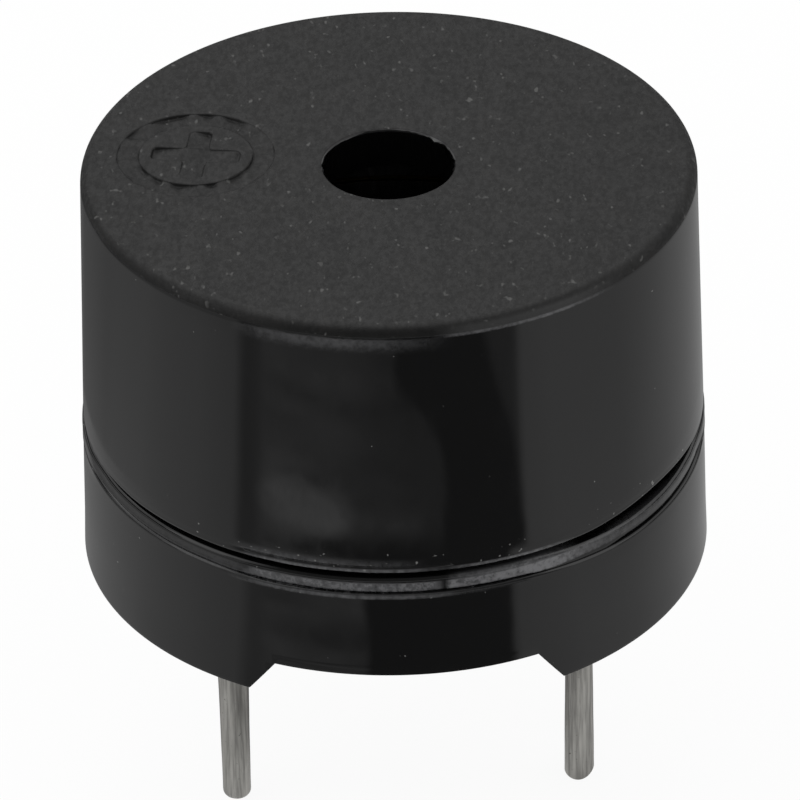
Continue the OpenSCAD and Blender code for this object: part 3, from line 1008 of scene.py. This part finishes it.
surround = {                 # glowing cards round the case that only gloss sees: painted reflections on the polished walls
    "reach": 75,
    "steps": 64,
    "drop": 0.005,           # under the pins' tips
    # azimuth from the front, and brightness
    "capGreys": ((-180, 0.1), (-150, 0.1), (-120, 0.25), (-95, 0.5), (-70, 0.62), (-55, 0.58),
                 (-51.5, 0.26), (-47, 0.3), (-44, 0.42), (-24, 0.38), (-8, 0.28), (16, 0.26), (39, 0.27),
                 (41.5, 0.68), (52, 0.72), (60, 0.68), (80, 0.54), (110, 0.47), (150, 0.3), (180, 0.1)),
    "baseGreys": ((-180, 0.1), (-150, 0.15), (-120, 0.36), (-95, 0.53), (-70, 0.6), (-52, 0.58),
                  (-47.5, 0.35), (-18, 0.38), (0, 0.3), (33, 0.3), (36, 0.64), (58, 0.68), (80, 0.56),
                  (110, 0.49), (150, 0.32), (180, 0.1)),
    "baseReach": 20.3,       # at the front, the upper case mirrors what lies beyond it
    "baseSoft": 0.1,
    "dark": 0.12,
    "baseDark": (-11, 34),   # azimuths of the dark zone's sides
    "capDark": ((25, 29.5, 14, -2), (24.3, 31, 40, 29)),    # of each side: reach from, to; azimuth there
    "darkSoft": 1.6,
    "ripple": 1.5,           # degrees by which those sides wander
    "rippleField": {"grain": 4.0, "detail": 2.0},
    "patches": (             # painted lighter and darker places in the reflections
        {"azimuth": (-120, -54), "soft": 8, "rise": (28.5, 31.5), "fall": (50, 51), "level": -0.14},
        {"azimuth": (-16, 6), "soft": 4, "rise": (22.2, 22.5), "fall": (22.8, 23.6), "level": 0.12},
        {"azimuth": (-34, 14), "soft": 5, "rise": (20.3, 20.4), "fall": (21.6, 22.2), "level": -0.2},
    ),
    # painted bright patch in the upper case's reflection
    "glow": {"azimuth": -30.5, "reach": 22.95, "wide": 16, "deep": 1.15, "level": 0.5,
             "fade": (0.65, 1.15)},
    "streak": 0.7,           # how unevenly the left half of the front is lit
    "streakSpan": (-44, 5, 3),    # azimuths of its sides, and how soft they are
    "streakScale": 1.1,
    "streakLength": 0.03,
}

paintedDarkReflections = (               # glowing dark sheets that only gloss sees, behind the camera and low behind the case: painted dark reflections
    {"name": "frontDarkReflection", "azimuth": 0, "radius": 260, "halfSpan": 62, "heights": (2, 74), "grey": 0.2},
    {"name": "backDarkReflection", "azimuth": 180, "radius": 260, "halfSpan": 100, "heights": (-1, 16), "grey": 0.1},
)
darkReflectionSteps = (8, 16)         # up and round


def stagePiece(bm, name, material, onlyGloss=False):
    piece = objectFrom(bm, name, (material,))
    if onlyGloss:
        for ray in ("camera", "diffuse", "transmission", "volume_scatter", "shadow"):
            setattr(piece, f"visible_{ray}", False)


def raySwitch(material):  # 1 for rays that show the background: from the camera, or by gloss or glass
    path = addNode(material.node_tree, "LightPath")
    seen = calculate("MAXIMUM", path.outputs["Is Camera Ray"], path.outputs["Is Glossy Ray"])
    return calculate("MAXIMUM", seen, path.outputs["Is Transmission Ray"])


def makeFloor():
    look = studio
    material, shader = startMaterial("paleFloor", look["floorColour"], look["floorRoughness"])
    tree = material.node_tree
    glow = addNode(tree, "Emission")
    mix = addNode(tree, "MixShader", Fac=times(raySwitch(material), 1 - look["shadowShare"]))
    tree.links.new(shader.outputs[0], mix.inputs[1])
    tree.links.new(glow.outputs[0], mix.inputs[2])
    tree.links.new(mix.outputs[0], tree.nodes["Material Output"].inputs["Surface"])
    bm = bmesh.new()
    place = Matrix.Translation((0, 0, (tipZ - look["floorDrop"]) * mm))
    bmesh.ops.create_grid(bm, x_segments=look["floorSteps"], y_segments=look["floorSteps"],
                          size=look["floorSize"] * mm / 2, matrix=place)
    stagePiece(bm, "floor", material)


def glowingMaterial(name):
    material = bpy.data.materials.new(name)
    material.use_nodes = True
    tree = material.node_tree
    tree.nodes.remove(tree.nodes["Principled BSDF"])
    emission = addNode(tree, "Emission")
    tree.links.new(emission.outputs[0], tree.nodes["Material Output"].inputs["Surface"])
    return material, emission


def patchLight(azimuth, reach, patch):
    across = bandShare(azimuth, *patch["azimuth"], patch["soft"])
    along = times(remap(reach, *patch["rise"]), remap(reach, *patch["fall"], 1.0, 0.0))
    return times(times(across, along), patch["level"])


def ovalLight(azimuth, reach, glow):
    aside = calculate("DIVIDE", minus(azimuth, glow["azimuth"]), glow["wide"])
    outward = calculate("DIVIDE", minus(reach, glow["reach"]), glow["deep"])
    return remap(lengthOf(aside, outward), *glow["fade"], glow["level"], 0.0)


def mixValues(share, first, second):
    kept = times(first, minus(1.0, share))
    return plus(kept, times(second, share))


def capShare(look, azimuth, reach):  # 1 on the cards that the upper case mirrors
    turn = calculate("COSINE", times(azimuth, math.pi / 360))
    apart = look["baseReach"] - footRadius
    squares = plus(times(turn, 2 * footRadius * apart), footRadius ** 2 + apart ** 2)
    seamReach = calculate("SQRT", squares)
    soft = look["baseSoft"]
    return remap(minus(reach, seamReach), -soft, soft)


def streakShare(look, azimuth, reach):
    tree = reach.id_data
    along = addNode(tree, "CombineXYZ", X=times(azimuth, look["streakLength"]), Y=reach)
    field = addNode(tree, "TexNoise", Vector=along.outputs[0], Scale=look["streakScale"])
    half = look["streak"] / 2
    streaks = remap(field.outputs[0], *noiseSpan, 1 - half, 1 + half, smooth=False)
    return mixValues(bandShare(azimuth, *look["streakSpan"]), 1.0, streaks)


def darkShare(material, look, azimuth, reach, onCap):  # 1 between the dark zone's rippled sides
    wander = look["ripple"]
    ripple = remap(noiseField(material, **look["rippleField"]), *noiseSpan, -wander, wander,
                   smooth=False)
    sides = []
    for onBase, alongCap in zip(look["baseDark"], look["capDark"]):
        side = mixValues(onCap, onBase, remap(reach, *alongCap))
        sides.append(minus(azimuth, plus(side, ripple)))
    soft = look["darkSoft"]
    return times(remap(sides[0], -soft, soft), remap(sides[1], -soft, soft, 1.0, 0.0))


# painted reflections: a glowing disc that only the case's gloss sees
def makeSurround():
    look = surround
    material, emission = glowingMaterial("paintedReflectionCards")
    x, y = placeInMm(material)[:2]
    azimuth, reach = azimuthAt(x, y), lengthOf(x, y)
    onCap = capShare(look, azimuth, reach)
    level = mixValues(onCap, azimuthRamp(azimuth, look["baseGreys"]),
                      azimuthRamp(azimuth, look["capGreys"]))
    level = times(level, streakShare(look, azimuth, reach))
    for patch in look["patches"]:
        level = plus(level, patchLight(azimuth, reach, patch))
    level = plus(level, ovalLight(azimuth, reach, look["glow"]))
    level = calculate("MAXIMUM", level, look["dark"])
    dark = darkShare(material, look, azimuth, reach, onCap)
    setSocket(emission.inputs["Strength"], mixValues(dark, level, look["dark"]))
    bm = bmesh.new()
    bmesh.ops.create_circle(bm, cap_ends=True, segments=look["steps"], radius=look["reach"] * mm,
                            matrix=Matrix.Translation((0, 0, (tipZ - look["drop"]) * mm)))
    stagePiece(bm, "paintedReflectionCards", material, onlyGloss=True)


# painted dark reflection: a dim glowing sheet that only gloss sees
def makeDarkReflection(look):
    material, emission = glowingMaterial(look["name"])
    emission.inputs["Strength"].default_value = look["grey"]
    bm = bmesh.new()
    span = math.radians(look["halfSpan"])
    start = Matrix.Rotation(math.radians(look["azimuth"] - 90) - span, 4, "Z")
    up, around = darkReflectionSteps
    profile = arc((0, 0), look["radius"], *look["heights"], up)
    verts = [bm.verts.new(start @ Vector((r * mm, 0, z * mm))) for r, z in profile]
    edges = [bm.edges.new(pair) for pair in zip(verts, verts[1:])]
    bmesh.ops.spin(bm, geom=verts + edges, cent=(0, 0, 0), axis=(0, 0, 1), dvec=(0, 0, 0),
                   angle=2 * span, steps=around)
    stagePiece(bm, look["name"], material, onlyGloss=True)


def makeWorld():
    world = bpy.data.worlds.new("studio")
    world.use_nodes = True
    scene.world = world
    background = world.node_tree.nodes["Background"]
    background.inputs["Color"].default_value = (1, 1, 1, 1)
    level = remap(raySwitch(world), 0.0, 1.0, studio["ambient"], 1.0, smooth=False)
    setSocket(background.inputs["Strength"], level)


def makeLamps():
    for lamp in studio["lamps"]:
        data = bpy.data.lights.new(lamp["name"], "AREA")
        data.shape = "SQUARE"
        data.size = lamp["size"] * mm
        data.energy = lamp["radiance"] * math.pi * data.size ** 2
        softbox = bpy.data.objects.new(lamp["name"], data)
        softbox.location = Vector(lamp["at"]) * mm
        softbox.rotation_mode = "QUATERNION"
        softbox.rotation_quaternion = (-softbox.location).to_track_quat("-Z", "Y")
        scene.collection.objects.link(softbox)


cameraPlace = {
    "distance": 150,
    "elevation": 33.115,
    "roll": -1.116,
    "turn": -1.7,
    "aim": (0.128, 0, 2.906),
    "lens": 353.24,
    "clip": (5, 10000),      # nearest and farthest that it sees
}


def makeCamera():
    look = cameraPlace
    data = bpy.data.cameras.new("camera")
    data.lens = look["lens"]
    data.clip_start, data.clip_end = (limit * mm for limit in look["clip"])
    camera = bpy.data.objects.new("camera", data)
    camera.matrix_world = (
        Matrix.Rotation(math.radians(look["turn"]), 4, "Z")
        @ Matrix.Translation(Vector(look["aim"]) * mm)
        @ Matrix.Rotation(math.radians(90 - look["elevation"]), 4, "X")
        @ Matrix.Rotation(math.radians(look["roll"]), 4, "Z")
        @ Matrix.Translation((0, 0, look["distance"] * mm)))
    scene.collection.objects.link(camera)
    scene.camera = camera


print("buzzer: materials")
wallPlastic = polishedBlack("polishedBlackMoulding")
topPlastic = mattBlack("sparkErodedBlackMoulding")
tinnedPinWire = tinnedWire("tinnedWire")
dressInnerNodes()

print("buzzer: case")
makeUpperCase(wallPlastic, topPlastic)
makeLowerCase(wallPlastic)

print("buzzer: pins")
for which in ("positive", "negative"):
    makePin(which, tinnedPinWire)

print("buzzer: studio")
makeFloor()
makeSurround()
for darkReflection in paintedDarkReflections:
    makeDarkReflection(darkReflection)
makeWorld()
makeLamps()
makeCamera()
scene.view_settings.view_transform = "Standard"
